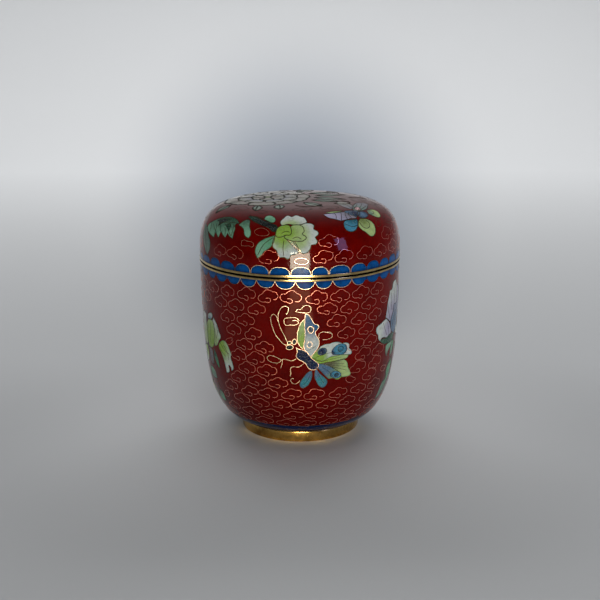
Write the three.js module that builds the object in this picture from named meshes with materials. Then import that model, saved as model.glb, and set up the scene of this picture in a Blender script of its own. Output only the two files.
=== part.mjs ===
// A round tea caddy of enamelled copper with gilt rims, its lid resting in place.
// Millimetres, +Z up. The origin is the centre of the circle that the foot ring stands on.

import * as THREE from 'three'

// Sizes that the body and the lid share
const rimRadius = 38 // outside of both gilt rims
const rimProud = 0.15 // how far the gilt rims stand out from the enamel
const wall = 2 // copper with the enamel fused on it
const seatHeight = 66.7 // from the table to the face where the lid rests

// Foot ring
const footRadius = 22.7
const footHeight = 4
const footThickness = 1.4
const footBevel = 0.2

// Body
const cornerInset = 0.25 // how far the curve's lower handle ends inside the widest radius
const cornerRise = 5.5 // and how far above the foot ring
const sideTaper = 0.7 // how far the upper handle leans in
const sideDrop = 33.3 // and how far it reaches down the side

// Body rim, with the collar that keeps the lid in place
const bodyRimHeight = 1.1
const rimBevel = 0.3 // on the two rims' meeting edges, which draws the dark line between them
const rimSoftening = 0.12 // on the rims' other outside edges
const collarHeight = 6 // above the seat
const collarThickness = 0.9
const collarClearance = 0.25 // between the collar and the inside of the lid
const collarBevel = 0.25

// Lid
const lidRimHeight = 1.2
const lidHeight = 22.2 // from the seat to the middle of the top
const lidStraight = 2.3 // upright stretch above the lid's rim
const shoulderRise = 13.7 // handle of the shoulder's curve, up from the upright stretch
const shoulderReach = 13.5 // handle of the shoulder's curve, out from the crown
const crownRadius = 18.9
const crownRise = 0.38 // the crown is a very flat dome

// Smoothness of the solids
const turns = 64
const bodySteps = 11
const shoulderSteps = 9
const crownSteps = 2

const enamelRadius = rimRadius - rimProud
const boreRadius = enamelRadius - wall
const bodyTop = seatHeight - bodyRimHeight
const lidBottom = seatHeight + lidRimHeight
const lidTop = seatHeight + lidHeight

const enamel = { color: 0x7c140c, roughness: 0.14, metalness: 0 }
const gilt = { color: 0xb18a42, roughness: 0.3, metalness: 1 }

function point(radius, height) {
  return new THREE.Vector2(radius, height)
}

// Points of a curve from its start to its end, moved by a distance to the left of its direction
function alongside(curve, steps, distance) {
  const points = []
  for (let i = 0; i <= steps; i++) {
    const t = i / steps
    const direction = curve.getTangent(t)
    const side = point(-direction.y, direction.x)
    points.push(curve.getPoint(t).addScaledVector(side, distance))
  }
  return points
}

// Turns a profile, drawn from the inside or the axis round the outside, into a closed solid
function turned(name, profile, finish) {
  const geometry = new THREE.LatheGeometry(profile, turns)
  geometry.rotateX(Math.PI / 2)
  const mesh = new THREE.Mesh(geometry, new THREE.MeshStandardMaterial(finish))
  mesh.name = name
  return mesh
}

function bodySide() {
  return new THREE.CubicBezierCurve(
    point(footRadius, footHeight),
    point(enamelRadius - cornerInset, footHeight + cornerRise),
    point(enamelRadius - sideTaper, bodyTop - sideDrop),
    point(enamelRadius, bodyTop),
  )
}

// A bowl-bottomed vessel with a flat floor and an open mouth
function makeBody() {
  const floor = footHeight + wall
  const outside = alongside(bodySide(), bodySteps, 0)
  const inside = alongside(bodySide(), bodySteps, wall)
  for (const p of inside) {
    p.y = THREE.MathUtils.clamp(p.y, floor, bodyTop)
  }
  inside[inside.length - 1].set(boreRadius, bodyTop)
  const profile = [point(0, footHeight), ...outside, ...inside.reverse(), point(0, floor)]
  return turned('body', profile, enamel)
}

function makeFootRing() {
  const bore = footRadius - footThickness
  const profile = [
    point(bore, footBevel),
    point(bore + footBevel, 0),
    point(footRadius - footBevel, 0),
    point(footRadius, footBevel),
    point(footRadius, footHeight),
    point(bore, footHeight),
    point(bore, footBevel),
  ]
  return turned('foot_ring', profile, gilt)
}

// A flat ring on the body's edge, with the collar standing up from its inner side
function makeBodyRim() {
  const collarRadius = boreRadius - collarClearance
  const collarBore = collarRadius - collarThickness
  const collarTop = seatHeight + collarHeight
  const profile = [
    point(collarBore, bodyTop),
    point(rimRadius - rimSoftening, bodyTop),
    point(rimRadius, bodyTop + rimSoftening),
    point(rimRadius, seatHeight - rimBevel),
    point(rimRadius - rimBevel, seatHeight),
    point(collarRadius, seatHeight),
    point(collarRadius, collarTop - collarBevel),
    point(collarRadius - collarBevel, collarTop),
    point(collarBore + collarBevel, collarTop),
    point(collarBore, collarTop - collarBevel),
    point(collarBore, bodyTop),
  ]
  return turned('body_rim', profile, gilt)
}

function makeLidRim() {
  const profile = [
    point(boreRadius, seatHeight),
    point(rimRadius - rimBevel, seatHeight),
    point(rimRadius, seatHeight + rimBevel),
    point(rimRadius, lidBottom - rimSoftening),
    point(rimRadius - rimSoftening, lidBottom),
    point(boreRadius, lidBottom),
    point(boreRadius, seatHeight),
  ]
  return turned('lid_rim', profile, gilt)
}

// The shoulder runs on into the crown without a break
function lidShoulder() {
  const slope = crownRise / (crownRadius / 2)
  const edge = lidTop - crownRise
  return new THREE.CubicBezierCurve(
    point(enamelRadius, lidBottom + lidStraight),
    point(enamelRadius, lidBottom + lidStraight + shoulderRise),
    point(crownRadius + shoulderReach, edge - shoulderReach * slope),
    point(crownRadius, edge),
  )
}

function lidCrown() {
  return new THREE.QuadraticBezierCurve(
    point(crownRadius, lidTop - crownRise),
    point(crownRadius / 2, lidTop),
    point(0, lidTop),
  )
}

// A hollow cap, open below
function makeLid() {
  const outside = [
    point(enamelRadius, lidBottom),
    ...alongside(lidShoulder(), shoulderSteps, 0),
    ...alongside(lidCrown(), crownSteps, 0).slice(1),
  ]
  const inside = [
    point(boreRadius, lidBottom),
    ...alongside(lidShoulder(), shoulderSteps, wall),
    ...alongside(lidCrown(), crownSteps, wall).slice(1),
  ]
  outside[outside.length - 1].x = 0
  inside[inside.length - 1].x = 0
  const profile = [...inside.reverse(), ...outside]
  return turned('lid', profile, enamel)
}

const caddy = new THREE.Group()
caddy.add(makeBody(), makeFootRing(), makeBodyRim(), makeLidRim(), makeLid())

export default caddy
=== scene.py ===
import math
import random

import bmesh
import bpy
from mathutils import Matrix, Vector
from mathutils.geometry import interpolate_bezier
from mathutils.kdtree import KDTree


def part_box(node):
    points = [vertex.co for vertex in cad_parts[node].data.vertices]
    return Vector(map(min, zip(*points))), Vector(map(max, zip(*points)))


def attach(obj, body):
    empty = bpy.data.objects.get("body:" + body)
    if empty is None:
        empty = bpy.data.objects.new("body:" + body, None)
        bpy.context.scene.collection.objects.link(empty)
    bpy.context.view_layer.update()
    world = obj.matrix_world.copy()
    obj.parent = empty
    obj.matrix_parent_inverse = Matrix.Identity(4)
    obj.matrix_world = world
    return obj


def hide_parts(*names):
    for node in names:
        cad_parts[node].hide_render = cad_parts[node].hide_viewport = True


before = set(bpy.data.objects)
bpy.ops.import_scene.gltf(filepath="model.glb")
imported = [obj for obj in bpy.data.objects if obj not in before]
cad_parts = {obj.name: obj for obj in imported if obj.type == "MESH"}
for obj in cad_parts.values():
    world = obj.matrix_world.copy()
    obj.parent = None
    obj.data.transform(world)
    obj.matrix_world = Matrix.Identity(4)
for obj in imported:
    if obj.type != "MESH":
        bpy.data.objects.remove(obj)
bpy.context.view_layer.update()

# Everything is drawn in millimetres and laid on the caddy's walls in metres.
mm = 0.001
random.seed(38)

camera = {
    "distance": 416.8,  # from the caddy's axis
    "height": 157.8,  # above the table
    "downTilt": 14.6,
    "roll": -0.2,
    "lens": 67.2,
    "sensor": 36,
}


def addCamera():
    data = bpy.data.cameras.new("camera")
    data.lens, data.sensor_width = camera["lens"], camera["sensor"]
    data.clip_start, data.clip_end = 0.01, 20
    seen = bpy.data.objects.new("camera", data)
    bpy.context.collection.objects.link(seen)
    place = Matrix.Translation((0, -camera["distance"] * mm, camera["height"] * mm))
    tilt = Matrix.Rotation(math.radians(90 - camera["downTilt"]), 4, "X")
    seen.matrix_world = place @ tilt @ Matrix.Rotation(math.radians(camera["roll"]), 4, "Z")
    bpy.context.scene.camera = seen


addCamera()
print("camera placed")

# Sizes read from the frame
bodyBox, footBox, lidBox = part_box("body"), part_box("foot_ring"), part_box("lid")
rimBox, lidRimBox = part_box("body_rim"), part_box("lid_rim")
enamelRadius = bodyBox[1].x / mm
rimRadius = lidRimBox[1].x / mm
bodyTop = bodyBox[1].z / mm
seat = lidRimBox[0].z / mm
lidBottom = lidBox[0].z / mm
lidTop = lidBox[1].z / mm
collarTop = rimBox[1].z / mm
footRadius, footHeight = footBox[1].x / mm, footBox[1].z / mm

walls = {
    "thickness": 2,
    "footThickness": 1.4,
    "collarThickness": 0.9,
    "collarClearance": 0.25,
    "bodyHandles": ((0.25, 5.5), (0.7, 33.3)),  # in and up from the foot, in and down from the rim
    "lidStraight": 2.3,
    "shoulderHandles": (13.7, 13.5),  # up from the straight, out from the crown
    "crownRadius": 18.9,
    "crownRise": 0.38,
    "floorRound": 0.4,
    "turns": 256,
    "sharpFrom": 35,
}


def curveLine(start, handle1, handle2, end, steps):
    return interpolate_bezier(Vector(start), Vector(handle1), Vector(handle2), Vector(end), steps + 1)


def bodyLine(steps=220):
    (inset, rise), (taper, drop) = walls["bodyHandles"]
    return curveLine(
        (enamelRadius, bodyTop),
        (enamelRadius - taper, bodyTop - drop),
        (enamelRadius - inset, footHeight + rise),
        (footRadius, footHeight),
        steps,
    )


def lidLine(steps=120):
    rise, reach = walls["shoulderHandles"]
    radius, edge = walls["crownRadius"], lidTop - walls["crownRise"]
    slope = walls["crownRise"] / (radius / 2)
    straight = lidBottom + walls["lidStraight"]
    shoulder = curveLine(
        (enamelRadius, straight),
        (enamelRadius, straight + rise),
        (radius + reach, edge - reach * slope),
        (radius, edge),
        steps,
    )
    crown = curveLine(
        (radius, edge),
        (radius * 2 / 3, lidTop - walls["crownRise"] / 3),
        (radius / 3, lidTop),
        (0, lidTop),
        steps // 2,
    )
    return [Vector((enamelRadius, lidBottom))] + shoulder + crown[1:]


class Wall:
    # A turned wall's outside, on which a place is an angle from the front and a height along the wall.
    # Heights run up from the wall's gilt rim, so they are negative on the body.
    step = 0.05
    reach = 6  # steps to each side over which the slope is taken

    def __init__(self, line, sign):
        self.sign = sign
        lengths = [0.0]
        for a, b in zip(line, line[1:]):
            lengths.append(lengths[-1] + (b - a).length)
        self.length = lengths[-1]
        spots, part = [], 0
        count = int(self.length / self.step) + 1
        for i in range(count + 1):
            travel = self.length * i / count
            while part < len(line) - 2 and lengths[part + 1] < travel:
                part += 1
            share = (travel - lengths[part]) / (lengths[part + 1] - lengths[part])
            spots.append(line[part].lerp(line[part + 1], share))
        self.table = []
        for i, spot in enumerate(spots):
            along = spots[min(i + self.reach, count)] - spots[max(i - self.reach, 0)]
            out = Vector((-along.y, along.x)).normalized() * -sign
            self.table.append((spot.x, spot.y, out.x, out.y))
        self.count = count

    def across(self, height):
        travel = min(max(height * self.sign, 0), self.length) * self.count / self.length
        i = min(int(travel), self.count - 1)
        share = travel - i
        return [a + (b - a) * share for a, b in zip(self.table[i], self.table[i + 1])]

    def radius(self, height):
        return self.across(height)[0]

    def place(self, angle, height, lift=0):
        r, z, outR, outZ = self.across(height)
        r += outR * lift
        return Vector((r * math.sin(angle), -r * math.cos(angle), z + outZ * lift)) * mm


bodyWall = Wall(bodyLine(), -1)
lidWall = Wall(lidLine(), 1)


# Shader sums: an expression on values adds its Math nodes.
class Value:
    def __init__(self, nodes, socket):
        self.nodes, self.socket = nodes, socket

    def sum(self, operation, *parts):
        return self.nodes.node("ShaderNodeMath", {"operation": operation}, dict(enumerate(parts)))

    def __add__(self, other):
        return self.sum("ADD", self, other)

    def __radd__(self, other):
        return self.sum("ADD", other, self)

    def __sub__(self, other):
        return self.sum("SUBTRACT", self, other)

    def __rsub__(self, other):
        return self.sum("SUBTRACT", other, self)

    def __mul__(self, other):
        return self.sum("MULTIPLY", self, other)

    def __rmul__(self, other):
        return self.sum("MULTIPLY", other, self)

    def __truediv__(self, other):
        return self.sum("DIVIDE", self, other)

    def __pow__(self, other):
        return self.sum("POWER", self, other)

    def __abs__(self):
        return self.sum("ABSOLUTE", self)


class Nodes:
    def __init__(self, tree):
        self.tree = tree

    def join(self, socket, part):
        if isinstance(part, Value):
            self.tree.links.new(part.socket, socket)
        else:
            socket.default_value = part

    def node(self, kind, settings=None, inputs=None, out=0):
        made = self.tree.nodes.new(kind)
        for name, value in (settings or {}).items():
            if name == "stops":
                while len(made.color_ramp.elements) < len(value):
                    made.color_ramp.elements.new(0.5)
                for stop, (position, colour) in zip(made.color_ramp.elements, value):
                    stop.position, stop.color = position, (*colour, 1)
            else:
                setattr(made, name, value)
        for name, value in (inputs or {}).items():
            self.join(made.inputs[name], value)
        return Value(self, made.outputs[out])


class Finish(Nodes):
    def __init__(self, name):
        self.material = bpy.data.materials.new(name)
        self.material.use_nodes = True
        super().__init__(self.material.node_tree)
        self.shader = self.tree.nodes["Principled BSDF"]
        self.place = self.node("ShaderNodeTexCoord", out="Object")

    def along(self, axis):
        return self.node("ShaderNodeSeparateXYZ", inputs={"Vector": self.place}, out=axis)

    def noise(self, scale, detail=2.0, roughness=0.5, place=None):
        inputs = {"Vector": place or self.place, "Scale": scale, "Detail": detail, "Roughness": roughness}
        return self.node("ShaderNodeTexNoise", inputs=inputs)

    def between(self, value, low, high):
        # 0 below the low value and 1 above the high one, or the other way round
        inputs = {"Value": value, "From Min": low, "From Max": high}
        return self.node("ShaderNodeMapRange", {"interpolation_type": "SMOOTHSTEP"}, inputs)

    def mixed(self, share, first, second, blend="MIX"):
        first, second = (part if isinstance(part, Value) else (*part, 1) for part in (first, second))
        settings = {"data_type": "RGBA", "blend_type": blend}
        # the numbers are the sockets of a mix of colours
        return self.node("ShaderNodeMix", settings, {0: share, 6: first, 7: second}, out=2)

    def bumped(self, height, distance):
        self.set("Normal", self.node("ShaderNodeBump", inputs={"Height": height, "Distance": distance}))

    def set(self, name, part):
        self.join(self.shader.inputs[name], part)


enamels = {
    "red": (0.186, 0.0015, 0.0001),
    "darkRed": (0.121, 0.0008, 0.0001),
    "shadedRed": (0.065, 0.0005, 0.0001),
    "crownSheenRed": (0.045, 0.036, 0.035),
    "brightRed": (0.26, 0.007, 0.002),
    "blue": (0.002, 0.100, 0.37),
    "darkBlue": (0.004, 0.012, 0.075),
    "navy": (0.010, 0.016, 0.060),
    "slate": (0.10, 0.20, 0.33),
    "sky": (0.035, 0.15, 0.31),
    "mist": (0.17, 0.38, 0.44),
    "teal": (0.008, 0.13, 0.19),
    "turquoise": (0.045, 0.30, 0.34),
    "azure": (0.06, 0.31, 0.48),
    "lime": (0.33, 0.55, 0.06),
    "paleLime": (0.50, 0.66, 0.26),
    "olive": (0.19, 0.25, 0.06),
    "umber": (0.12, 0.11, 0.06),
    "leaf": (0.11, 0.40, 0.20),
    "paleLeaf": (0.26, 0.56, 0.36),
    "darkLeaf": (0.012, 0.075, 0.035),
    "white": (0.72, 0.78, 0.72),
    "lilac": (0.46, 0.42, 0.60),
    "pink": (0.74, 0.42, 0.44),
    "black": (0.006, 0.007, 0.008),
    "shell": (0.24, 0.22, 0.175),  # duller, greyer ones: on the lid's top they are painted shade and sheen
    "duskPink": (0.25, 0.17, 0.155),
    "greyLilac": (0.21, 0.195, 0.24),
    "dullLeaf": (0.07, 0.16, 0.10),
    "greyLeaf": (0.17, 0.27, 0.21),
    "counter": (0.03, 0.26, 0.33),  # inside and underneath
    "darkCounter": (0.02, 0.19, 0.27),
    "counterSpeck": (0.01, 0.05, 0.07),
    "cloudy": (0.05, 0.10, 0.09),  # faults of the glaze
    "chalky": (0.9, 0.92, 0.88),
    "pit": (0.02, 0.025, 0.02),
    "redPit": (0.02, 0.002, 0.001),
}


glaze = {
    "specular": 0.11,
    "roughness": 0.055,
    "scratched": 0.10,  # how much rougher it is along hairline scratches
    "pitted": 0.25,  # and in pinholes
    "wave": 0.010,  # height of the waves that hand polishing leaves
    "pits": 0.004,
    "bump": 0.06,
    "shadeBelow": (42, 8),  # heights between which painted shade darkens the red towards the foot
    "crownSheen": (83, 88.5),  # and a painted grey sheen dulls it on the crown
}


def polish(finish):
    # hand-polished enamel: very slightly wavy, with pinholes and hairline scratches
    finish.shader.inputs["Specular IOR Level"].default_value = glaze["specular"]
    waves = finish.noise(170, 1.0)
    holes = finish.between(finish.noise(2600, 2.0, 0.6), 0.66, 0.74)
    scratches = finish.between(finish.noise(900, 3.0, 0.7), 0.45, 0.8)
    finish.set("Roughness", glaze["roughness"] + glaze["scratched"] * scratches + glaze["pitted"] * holes)
    height = waves * (glaze["wave"] / glaze["bump"]) - holes * (glaze["pits"] / glaze["bump"])
    finish.bumped(height, glaze["bump"] * mm)
    return holes


def redEnamel():
    finish = Finish("red_enamel")
    cloud = finish.noise(120, 3.0, 0.6)
    grain = finish.noise(1400, 2.0, 0.6)
    colour = finish.mixed(finish.between(cloud, 0.35, 0.72), enamels["red"], enamels["darkRed"])
    height = finish.along("Z")
    # painted shade darkens the red low on the body, and a painted grey sheen greys it on the crown
    for share, name, heights in ((0.55, "shadedRed", glaze["shadeBelow"]), (0.50, "crownSheenRed", glaze["crownSheen"])):
        low, high = heights
        colour = finish.mixed(share * finish.between(height, low * mm, high * mm), colour, enamels[name])
    holes = polish(finish)
    colour = finish.mixed(0.30 * finish.between(grain, 0.5, 0.8), colour, enamels["brightRed"])
    finish.set("Base Color", finish.mixed(0.75 * holes, colour, enamels["redPit"]))
    return finish.material


def borderEnamel(name, blue, shaded):
    finish = Finish(name)
    cloud = finish.noise(480, 3.0, 0.6)
    colour = finish.mixed(finish.between(cloud, 0.35, 0.75), blue, [part * 0.6 for part in blue])
    if shaded:
        tint = finish.node("ShaderNodeAttribute", {"attribute_name": "tint"}, out="Color")
        colour = finish.mixed(1.0, colour, tint, "MULTIPLY")
    holes = polish(finish)
    finish.set("Base Color", finish.mixed(0.5 * holes, colour, enamels["navy"]))
    return finish.material


def paintedEnamel():
    # petals, wings and leaves: each cell carries its own fired blend of two colours in "tint"
    finish = Finish("motif_enamel")
    tint = finish.node("ShaderNodeAttribute", {"attribute_name": "tint"}, out="Color")
    cloud = finish.noise(700, 3.0, 0.6)
    grain = finish.noise(2400, 2.0, 0.6)
    colour = finish.mixed(0.28 * finish.between(cloud, 0.4, 0.8), tint, enamels["cloudy"])
    holes = polish(finish)
    colour = finish.mixed(0.16 * finish.between(grain, 0.45, 0.75), colour, enamels["chalky"])
    finish.set("Base Color", finish.mixed(0.7 * holes, colour, enamels["pit"]))
    return finish.material


def innerEnamel():
    # counter-enamel inside and underneath
    finish = Finish("counter_enamel")
    cloud = finish.noise(220, 4.0, 0.6)
    speck = finish.between(finish.noise(1500, 2.0, 0.6), 0.62, 0.7)
    colour = finish.mixed(finish.between(cloud, 0.3, 0.7), enamels["counter"], enamels["darkCounter"])
    finish.set("Base Color", finish.mixed(0.6 * speck, colour, enamels["counterSpeck"]))
    finish.set("Roughness", 0.16 + 0.2 * speck)
    finish.bumped(cloud - speck, 0.03 * mm)
    return finish.material


metals = {  # each wire's bright and worn colour, roughness and the weight of the glaze over it
    "gilt_wire": ((0.66, 0.185, 0.12), (0.42, 0.095, 0.058), 0.42, 1.0),
    "pale_wire": ((0.70, 0.48, 0.33), (0.48, 0.31, 0.20), 0.40, 1.0),
    "border_wire": ((0.60, 0.47, 0.29), (0.38, 0.29, 0.17), 0.40, 0.6),
    # the dark wire: for dark lines, and as painted shade on wires turned away from the light, round the
    # sides and up on the lid
    "dark_shaded_wire": ((0.07, 0.06, 0.03), (0.02, 0.02, 0.014), 0.62, 0.0),
}
wireGlaze = {"Coat Roughness": 0.22, "Coat IOR": 1.9}


def wireMetal(name):
    # the glaze over a wire gives the pale glint on it
    bright, worn, rough, coat = metals[name]
    finish = Finish(name)
    for socket, part in {"Coat Weight": coat, **wireGlaze}.items():
        finish.shader.inputs[socket].default_value = part
    wear = finish.noise(350, 3.0, 0.6)
    finish.set("Base Color", finish.mixed(finish.between(wear, 0.35, 0.7), bright, worn))
    finish.set("Metallic", 1.0)
    finish.set("Roughness", rough + 0.2 * wear)
    return finish.material


gilding = {
    "rim": ((0.60, 0.45, 0.20), (0.38, 0.27, 0.11), 0.11),  # bright and worn colour, roughness
    "foot": ((0.64, 0.40, 0.11), (0.29, 0.16, 0.04), 0.16),
    "spots": (0.20, 0.10, 0.035),
    # near black: painted shade in the gap between the rings
    "seamShade": (0.012, 0.008, 0.004),
    "seamShadeReach": (0.28, 0.42),  # where the painted shade in the seam begins to fade and has gone
    "turning": 0.010,  # height of the fine lines that the lathe leaves
}


def turnedMetal(name, seam=None):
    # gilding over a turned ring: fine lines round it, tarnish in patches, and painted shade darkening it
    # in a seam
    bright, worn, shine = gilding[name]
    finish = Finish(name + "_gilding")
    height = finish.along("Z")
    around = finish.node("ShaderNodeCombineXYZ", inputs={"Z": height * 9000})
    lines = finish.noise(1.0, 3.0, 0.7, around)
    tarnish = finish.noise(160, 4.0, 0.65)
    spots = finish.between(finish.noise(900, 3.0, 0.7), 0.58, 0.75)
    colour = finish.mixed(finish.between(tarnish, 0.35, 0.7), bright, worn)
    colour = finish.mixed(0.5 * spots, colour, gilding["spots"])
    finish.set("Metallic", 1.0)
    finish.set("Roughness", shine + 0.10 * tarnish + 0.16 * spots)
    if seam:
        low, high = gilding["seamShadeReach"]
        # painted shade: the gilding goes near black in and beside the gap where the lid meets the body
        near = 1 - finish.between(abs(height - seam * mm), low * mm, high * mm)
        colour = finish.mixed(0.96 * near, colour, gilding["seamShade"])
    finish.set("Base Color", colour)
    finish.bumped(lines * 0.6 - spots * 0.4, gilding["turning"] * mm)
    return finish.material


red, painted, inner = redEnamel(), paintedEnamel(), innerEnamel()
border = borderEnamel("blue_enamel", enamels["blue"], True)
# the foot band's dark blue is partly its own navy and partly painted shade under the body's overhang
footBlue = borderEnamel("dark_blue_enamel", enamels["darkBlue"], False)
wire, paleWire, borderWire, darkWire = (wireMetal(name) for name in metals)
rimGilt, footGilt = turnedMetal("rim", seat), turnedMetal("foot")
print("finishes mixed")


def finished(bm, name, slot, *materials, replaces=()):
    mesh = bpy.data.meshes.new(name)
    bm.to_mesh(mesh)
    bm.free()
    for material in materials:
        mesh.materials.append(material)
    mesh.polygons.foreach_set("use_smooth", [True] * len(mesh.polygons))
    mesh.set_sharp_from_angle(angle=math.radians(walls["sharpFrom"]))
    piece = bpy.data.objects.new(name, mesh)
    bpy.context.collection.objects.link(piece)
    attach(piece, "root")
    if replaces:
        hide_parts(*replaces)
    return piece


def turned(section, closed=False):
    # spins a section of (radius, height) points once round
    bm = bmesh.new()
    corners = [bm.verts.new((x * mm, 0, y * mm)) for x, y in section]
    pairs = list(zip(corners, corners[1:])) + ([(corners[-1], corners[0])] if closed else [])
    edges = [bm.edges.new(pair) for pair in pairs]
    bmesh.ops.spin(bm, geom=corners + edges, cent=(0, 0, 0), axis=(0, 0, 1), dvec=(0, 0, 0),
                   angle=math.tau, steps=walls["turns"], use_merge=True, use_duplicate=False)
    bmesh.ops.remove_doubles(bm, verts=bm.verts, dist=0.0005 * mm)
    bmesh.ops.recalc_face_normals(bm, faces=bm.faces)
    return bm


def rounded(section, radii):
    # the section's corners rounded, each by its own radius
    bm = bmesh.new()
    face = bm.faces.new([bm.verts.new((x, y, 0)) for x, y in section])
    for corner, radius in zip(list(face.verts), radii):
        if radius:
            bmesh.ops.bevel(bm, geom=[corner], offset=radius, offset_type="OFFSET", affect="VERTICES",
                            segments=4, profile=0.5, material=-1)
    bm.faces.ensure_lookup_table()
    points = [tuple(v.co.xy) for v in bm.faces[0].verts]
    bm.free()
    return points


def inwards(line, distance):
    # the same line, moved into the wall
    moved = []
    for i, spot in enumerate(line):
        along = line[min(i + 1, len(line) - 1)] - line[max(i - 1, 0)]
        side = Vector((along.y, -along.x)).normalized()
        if side.x > 0 or side.y > 0 and spot.x < 1:
            side = -side
        moved.append(spot + side * distance)
    return moved


def addBody():
    outside, floor = bodyLine(72), footHeight + walls["thickness"]
    inside = [p for p in inwards(bodyLine(40), walls["thickness"]) if floor < p.y < bodyTop]
    bore = enamelRadius - walls["thickness"]
    section = [(0, floor), (inside[-1].x - walls["floorRound"], floor)]
    section += [tuple(p) for p in reversed(inside)]
    section += [(bore, bodyTop)] + [tuple(p) for p in outside] + [(0, footHeight)]
    bm = turned(section)
    for face in bm.faces:
        middle, out = face.calc_center_median(), face.normal
        under = middle.z < (footHeight + 0.01) * mm
        face.material_index = int(under or middle.x * out.x + middle.y * out.y < 0 or out.z > 0.5)
    finished(bm, "body_shell", "body_enamel", red, inner, replaces=["body"])


def addLid():
    outside = lidLine(56)
    inside = [p for p in inwards(lidLine(36), walls["thickness"])[1:-1] if p.y > lidBottom]
    section = [(0, lidTop - walls["thickness"])] + [tuple(p) for p in reversed(inside)]
    section += [(enamelRadius - walls["thickness"], lidBottom)] + [tuple(p) for p in outside]
    bm = turned(section)
    for face in bm.faces:
        middle, out = face.calc_center_median(), face.normal
        face.material_index = int(middle.x * out.x + middle.y * out.y < 0 or out.z < -0.5)
    finished(bm, "lid_shell", "lid_enamel", red, inner, replaces=["lid"])


rings = {
    # roundings where the rings meet, along their other edge, inside the collar and on the foot
    "meeting": 0.16,
    "edge": 0.10,
    "inside": 0.2,
    "footEdge": 0.30,
    "footTop": 0.3,
    "gap": 0.29,  # on each side of the seam, where the lid doesn't quite close
    "gapDepth": 1.7,
}


def addRings():
    bore = enamelRadius - walls["thickness"]
    collar = bore - walls["collarClearance"]
    collarBore = collar - walls["collarThickness"]
    meeting, edge, soft = rings["meeting"], rings["edge"], rings["inside"]
    gap, inward = rings["gap"], rimRadius - rings["gapDepth"]
    section = [(collarBore, bodyTop), (rimRadius, bodyTop), (rimRadius, seat - gap), (inward, seat - gap),
               (inward, seat), (collar, seat), (collar, collarTop), (collarBore, collarTop)]
    bm = turned(rounded(section, (0, edge, meeting, 0, 0, 0, soft, soft)), closed=True)
    finished(bm, "body_rim_ring", "rim_gilt", rimGilt, replaces=["body_rim"])
    section = [(bore, seat), (inward, seat), (inward, seat + gap), (rimRadius, seat + gap),
               (rimRadius, lidBottom), (bore, lidBottom)]
    bm = turned(rounded(section, (0, 0, 0, meeting, edge, 0)), closed=True)
    finished(bm, "lid_rim_ring", "rim_gilt", rimGilt, replaces=["lid_rim"])
    footBore, soft = footRadius - walls["footThickness"], rings["footEdge"]
    section = [(footBore, 0), (footRadius, 0), (footRadius, footHeight), (footBore, footHeight)]
    bm = turned(rounded(section, (soft, soft, rings["footTop"], 0)), closed=True)
    finished(bm, "foot_ring_turned", "foot_gilt", footGilt, replaces=["foot_ring"])


addBody()
addLid()
addRings()
print("copper walls and gilt rings turned")


# Flat drawing. A stroke is a list of knots (x, y), with a third entry where the line turns sharply.
def drawn(strokes, closed, section=None, steps=3):
    curve = bpy.data.curves.new("drawing", "CURVE")
    curve.dimensions = "3D" if section else "2D"
    if section:
        curve.bevel_mode, curve.bevel_object, curve.use_fill_caps = "OBJECT", section, True
    else:
        curve.fill_mode = "BOTH"
    for knots in strokes:
        spline = curve.splines.new("BEZIER")
        spline.bezier_points.add(len(knots) - 1)
        for point, knot in zip(spline.bezier_points, knots):
            point.co = (knot[0], knot[1], 0)
        for point, knot in zip(spline.bezier_points, knots):
            kind = "VECTOR" if len(knot) > 2 else "AUTO"
            point.handle_left_type = point.handle_right_type = kind
        spline.use_cyclic_u, spline.resolution_u = closed, steps
    sheet = bpy.data.objects.new("drawing", curve)
    bpy.context.collection.objects.link(sheet)
    mesh = bpy.data.meshes.new_from_object(sheet.evaluated_get(bpy.context.evaluated_depsgraph_get()))
    bpy.data.objects.remove(sheet)
    bpy.data.curves.remove(curve)
    bm = bmesh.new()
    bm.from_mesh(mesh)
    bpy.data.meshes.remove(mesh)
    return bm


def wireSection(width):
    # flat on top, coming to an edge below, as ground-down wire does
    curve = bpy.data.curves.new("wire_section", "CURVE")
    spline = curve.splines.new("POLY")
    spline.points.add(2)
    for point, place in zip(spline.points, ((-width / 2, 0), (width / 2, 0), (0, -wires["deep"]))):
        point.co = (*place, 0, 1)
    spline.use_cyclic_u = True
    section = bpy.data.objects.new("wire_section", curve)
    bpy.context.collection.objects.link(section)
    return section


class Ground:
    # Where a drawing lies on a wall: its angle and height, and the girth that a millimetre is measured on
    def __init__(self, wall, angle, height, girth=None):
        self.wall, self.angle, self.height = wall, math.radians(angle), height
        self.girth = girth or wall.radius(height)

    def lay(self, bm, lift):
        for v in bm.verts:
            v.co = self.wall.place(self.angle + v.co.x / self.girth, self.height + v.co.y, v.co.z + lift)


class TopGround:
    # The lid's top, seen from above with the front down
    def __init__(self, x, y):
        self.x, self.y = x, y

    def lay(self, bm, lift):
        for v in bm.verts:
            x, y = v.co.x + self.x, v.co.y + self.y
            v.co = lidWall.place(math.atan2(x, -y), lidWall.length - math.hypot(x, y), v.co.z + lift)


wires = {
    # widths: of cloud and border wires, of thin strokes, then of outlines, bright and dark
    "fine": 0.13,
    "thin": 0.065,
    "motif": 0.14,
    "dark": 0.28,
    "darkFine": 0.20,
    "darkTop": 0.55,
    "inner": 0.85,  # share of its outline's width that a line inside a cell has
    "deep": 0.2,  # from the wire's top down to its edge in the enamel
    "proud": 0.030,  # above the wall
}

inlay = {
    "proud": 0.018,  # a little lower than the wires
    "layer": 0.016,  # what lies over another cell is this much higher
    "depth": 0.10,
    "speckle": 0.10,  # how unevenly the two colours of a cell run together
    "pooled": (0.60, 0.74, 0.78),  # how much deeper a colour is along its wire
}


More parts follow.
